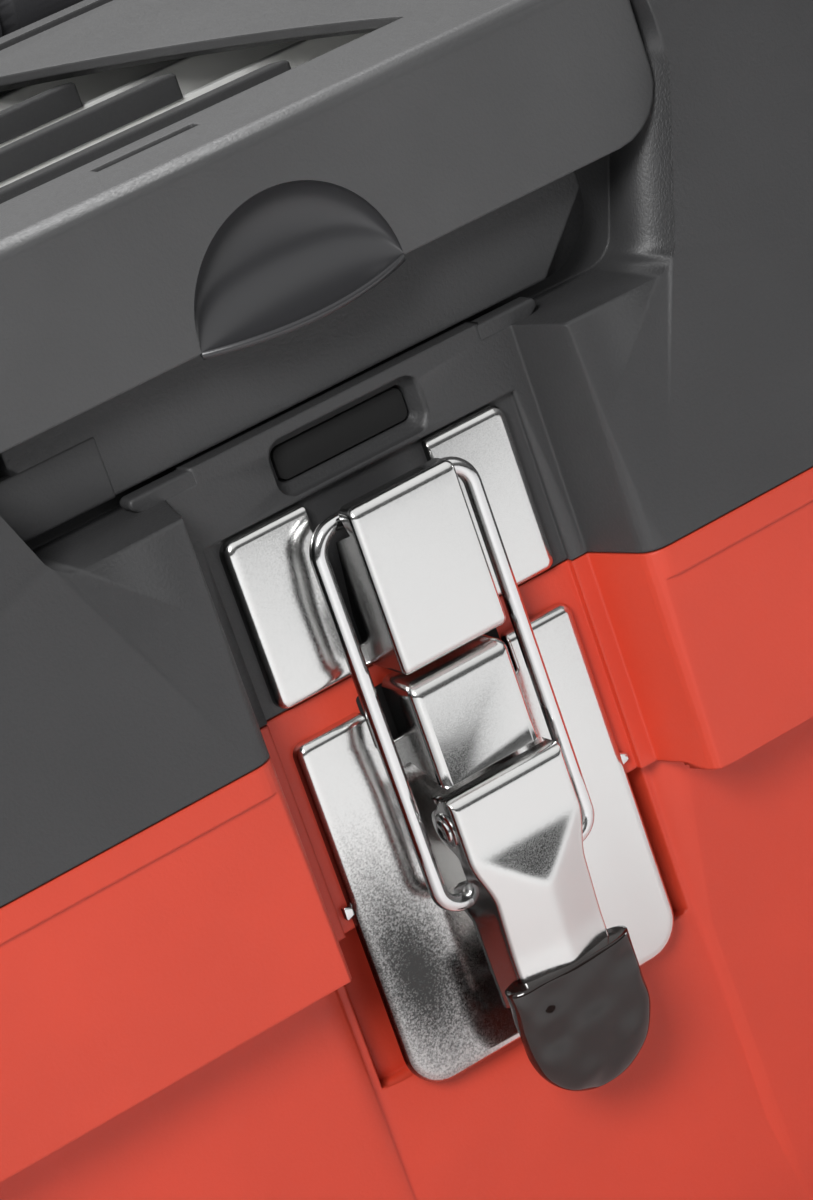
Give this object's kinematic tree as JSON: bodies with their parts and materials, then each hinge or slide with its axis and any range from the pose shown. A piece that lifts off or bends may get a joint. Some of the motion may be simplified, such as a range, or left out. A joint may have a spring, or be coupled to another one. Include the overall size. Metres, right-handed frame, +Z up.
{
  "type": "cantilever tool box",
  "caption": "Moulded tool box whose lid lifts trays on steel arms, with a small-parts organiser under a snap cover, a fold-down handle and an over-centre wire latch.",
  "frame": {"origin": "centre of the box in plan, on the surface that it stands on", "axes": "+Z up, front with the latch towards -Y, +X to the right seen from the front"},
  "size_m": [0.43, 0.2413, 0.221],
  "materials": {
    "red_plastic": "moulded red polypropylene, satin with a fine grain",
    "grey_plastic": "moulded dark grey polypropylene, fine grain",
    "cover_plastic": "moulded dark grey polypropylene, slightly smoother",
    "tray_plastic": "moulded dark grey polypropylene",
    "divider_plastic": "thin moulded sheet, satin",
    "handle_plastic": "moulded black-grey grip with finger grooves",
    "white_plastic": "white moulded insert",
    "clear_plastic": "clear polystyrene pane",
    "latch_steel": "zinc plated pressed steel, satin",
    "arm_steel": "zinc plated strap steel",
    "plated_steel": "bright zinc plated steel wire and pins",
    "dipped_vinyl": "black dipped vinyl, glossy"
  },
  "bodies": {
    "base": {"base_shell": "red_plastic", "base_arm_pins": "plated_steel", "latch_plate": "latch_steel", "latch_pivot_rivet": "plated_steel"},
    "lid": {"lid_shell": "grey_plastic", "hinge_rod": "plated_steel", "rear_arm_left": "arm_steel", "rear_arm_right": "arm_steel", "lid_arm_pins": "plated_steel", "organiser_tray": "white_plastic", "organiser_dividers": "divider_plastic", "keeper_plate": "latch_steel", "cover_hinge_pin": "plated_steel", "handle_pins": "plated_steel"},
    "front_arms": {"front_arm_left": "arm_steel", "front_arm_right": "arm_steel"},
    "upper_tray": {"upper_tray": "tray_plastic", "upper_tray_pins": "plated_steel", "upper_tray_dividers": "divider_plastic"},
    "lower_tray": {"lower_tray": "tray_plastic", "lower_tray_pins": "plated_steel", "lower_tray_dividers": "divider_plastic"},
    "organiser_cover": {"organiser_cover": "cover_plastic", "cover_window": "clear_plastic"},
    "carry_handle": {"carry_handle": "handle_plastic"},
    "latch_lever": {"latch_lever": "latch_steel", "lever_grip": "dipped_vinyl"},
    "latch_loop": {"latch_wire_loop": "plated_steel"}
  },
  "joints": [
    {"name": "lid_open", "type": "hinge", "parent": "base", "child": "lid", "pos_m": [0, 0.112, 0.128], "axis": [-1, 0, 0], "range_deg": [0, 92]},
    {"name": "front_arms_swing", "type": "hinge", "parent": "base", "child": "front_arms", "pos_m": [0, 0.052, 0.122], "axis": [-1, 0, 0], "range_deg": [-1, 94]},
    {"name": "upper_tray_level", "type": "hinge", "parent": "lid", "child": "upper_tray", "pos_m": [0, -0.018, 0.148], "axis": [-1, 0, 0], "range_deg": [-94, 1]},
    {"name": "lower_tray_level", "type": "hinge", "parent": "lid", "child": "lower_tray", "pos_m": [0, 0.047, 0.122], "axis": [-1, 0, 0], "range_deg": [-94, 1]},
    {"name": "cover_open", "type": "hinge", "parent": "lid", "child": "organiser_cover", "pos_m": [0, 0.017, 0.21], "axis": [-1, 0, 0], "range_deg": [0, 95]},
    {"name": "handle_lift", "type": "hinge", "parent": "lid", "child": "carry_handle", "pos_m": [0, 0.039, 0.211], "axis": [1, 0, 0], "range_deg": [0, 90]},
    {"name": "lever_pull", "type": "hinge", "parent": "base", "child": "latch_lever", "pos_m": [0, -0.1146, 0.102], "axis": [-1, 0, 0], "range_deg": [0, 110]},
    {"name": "wire_loop_swing", "type": "hinge", "parent": "latch_lever", "child": "latch_loop", "pos_m": [0, -0.112, 0.0891], "axis": [-1, 0, 0], "range_deg": [-94, 1]}
  ],
  "couplings": [
    {"joint": "front_arms_swing", "follows": "lid_open", "ratio": 1},
    {"joint": "upper_tray_level", "follows": "lid_open", "ratio": -1},
    {"joint": "lower_tray_level", "follows": "lid_open", "ratio": -1},
    {"joint": "wire_loop_swing", "follows": "lever_pull", "ratio": -0.85}
  ]
}
